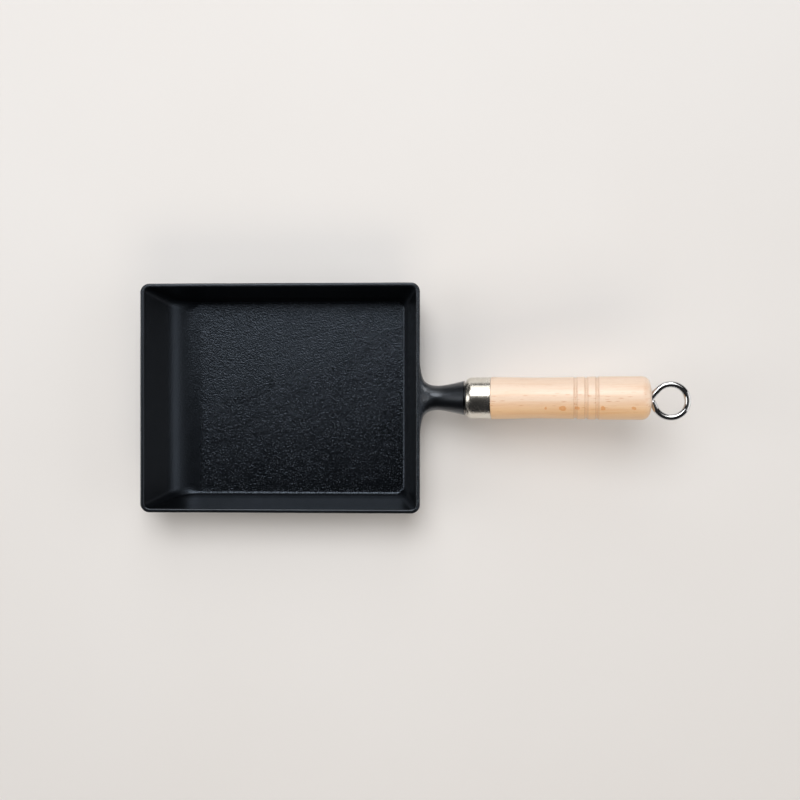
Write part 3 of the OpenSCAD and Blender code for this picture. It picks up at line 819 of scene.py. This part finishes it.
def pale_table():
    """Matt pale grey card. Far from the pan it is seen at its plain colour, so that its edge
    never shows against the room."""
    made, tree, shader = material("pale_table")
    place = add(tree, "TexCoord").outputs["Object"]
    cloud = add(tree, "TexNoise", Vector=place, Scale=3.0, Detail=3.0)
    tone = ramp(tree, cloud.outputs["Fac"], (0.3, (0.775, 0.755, 0.74)), (0.7, PALE))
    tree.links.new(tone, shader.inputs["Base Color"])
    shader.inputs["Roughness"].default_value = 0.85
    away = add(tree, "VectorMath", {"operation": "LENGTH"}, i0=place)
    far = spread(tree, away.outputs["Value"], 0.7, 1.5)
    ray = add(tree, "LightPath").outputs
    seen = calc(tree, "MAXIMUM", ray["Is Camera Ray"], ray["Is Glossy Ray"])
    glow = add(tree, "Emission", Color=(*PALE, 1), Strength=1.0)
    share = calc(tree, "MULTIPLY", far, seen)
    mixed = add(tree, "MixShader", i0=share, i1=shader.outputs[0], i2=glow.outputs[0])
    output = next(n for n in tree.nodes if n.type == "OUTPUT_MATERIAL")
    tree.links.new(mixed.outputs[0], output.inputs["Surface"])
    return made


table_mesh = bpy.data.meshes.new("table")
table_corners = TABLE_HALF * np.array([(-1, -1), (1, -1), (1, 1), (-1, 1)])
table_mesh.from_pydata([(x, y, -TABLE_BELOW) for x, y in table_corners], [], [(0, 1, 2, 3)])
table = bpy.data.objects.new("table", table_mesh)
bpy.context.collection.objects.link(table)
table.data.materials.append(pale_table())


def soft_lamp(name, place, aim, width, height, watts, colour):
    """A rectangular soft box at a place, facing a point."""
    lamp = bpy.data.lights.new(name, "AREA")
    lamp.shape, lamp.size, lamp.size_y = "RECTANGLE", width, height
    lamp.energy, lamp.color = watts, colour
    holder = bpy.data.objects.new(name, lamp)
    holder.location = place
    holder.rotation_euler = (Vector(aim) - Vector(place)).to_track_quat("-Z", "Y").to_euler()
    bpy.context.collection.objects.link(holder)
    return holder


def card(name, off_zenith, azimuth, away, width, height, radiance, colour):
    """A soft box seen from the pan at those two angles, in degrees, and that distance. An area
    lamp of P watts and area A shines with a radiance of P / 4A."""
    off_zenith, azimuth = np.radians([off_zenith, azimuth])
    across = np.sin(off_zenith) * np.array([np.cos(azimuth), np.sin(azimuth)])
    aim = np.array([0.06, 0, 0.02])
    place = aim + away * np.append(across, np.cos(off_zenith))
    return soft_lamp(name, tuple(place), tuple(aim), width, height, 4 * width * height * radiance, colour)


# Degrees off the zenith, azimuth, distance, width, height, radiance and colour
card("window", 31, 104, 1.5, 1.0, 0.62, 3.4, (0.985, 0.985, 0.985))
card("window_blind", 31, 94, 1.7, 1.2, 1.0, 0.9, (1.0, 0.985, 0.965))
card("window_glow", 60, 92, 1.6, 1.0, 0.70, 1.3, (1.0, 0.985, 0.965))
card("left_card", 63, 181, 1.5, 0.7, 1.35, 1.5, (1.0, 0.99, 0.98))
card("right_card", 46, 356, 1.5, 0.8, 1.3, 0.3, (1.0, 0.99, 0.98))
card("right_wall", 70, 358, 1.5, 1.4, 1.1, 0.85, (1.0, 0.99, 0.98))
# These two light the pan without being mirrored in it
overhead = card("overhead", 9, 90, 1.6, 0.6, 0.6, 4.4, (0.99, 0.985, 0.975))
overhead.visible_glossy = False
low_fill = card("low_fill", 52, 280, 1.6, 1.2, 0.6, 2.0, (1.0, 0.88, 0.74))
low_fill.visible_glossy = False


def room_light():
    """The room beyond the cards: dim to everything in it, and pale to the camera."""
    world = bpy.data.worlds.new("room")
    bpy.context.scene.world = world
    world.use_nodes = True
    tree = world.node_tree
    seen = add(tree, "LightPath").outputs["Is Camera Ray"]
    background = next(n for n in tree.nodes if n.type == "BACKGROUND")
    dim = (0.025, 0.025, 0.026, 1)
    tree.links.new(blend(tree, seen, dim, PALE), background.inputs["Color"])
    background.inputs["Strength"].default_value = 1.0


room_light()

RIM_TO_CAMERA, SEEN_ACROSS, SENSOR, CAMERA_OVER = 0.640, 0.496, 36.0, (0.0744, -0.00125)
camera_data = bpy.data.cameras.new("camera")
camera_data.sensor_width = SENSOR
camera_data.lens = SENSOR * RIM_TO_CAMERA / SEEN_ACROSS
camera = bpy.data.objects.new("camera", camera_data)
camera.location = (*CAMERA_OVER, PAN_HEIGHT + RIM_TO_CAMERA)
bpy.context.collection.objects.link(camera)
bpy.context.scene.camera = camera
bpy.context.scene.view_settings.view_transform = "Standard"
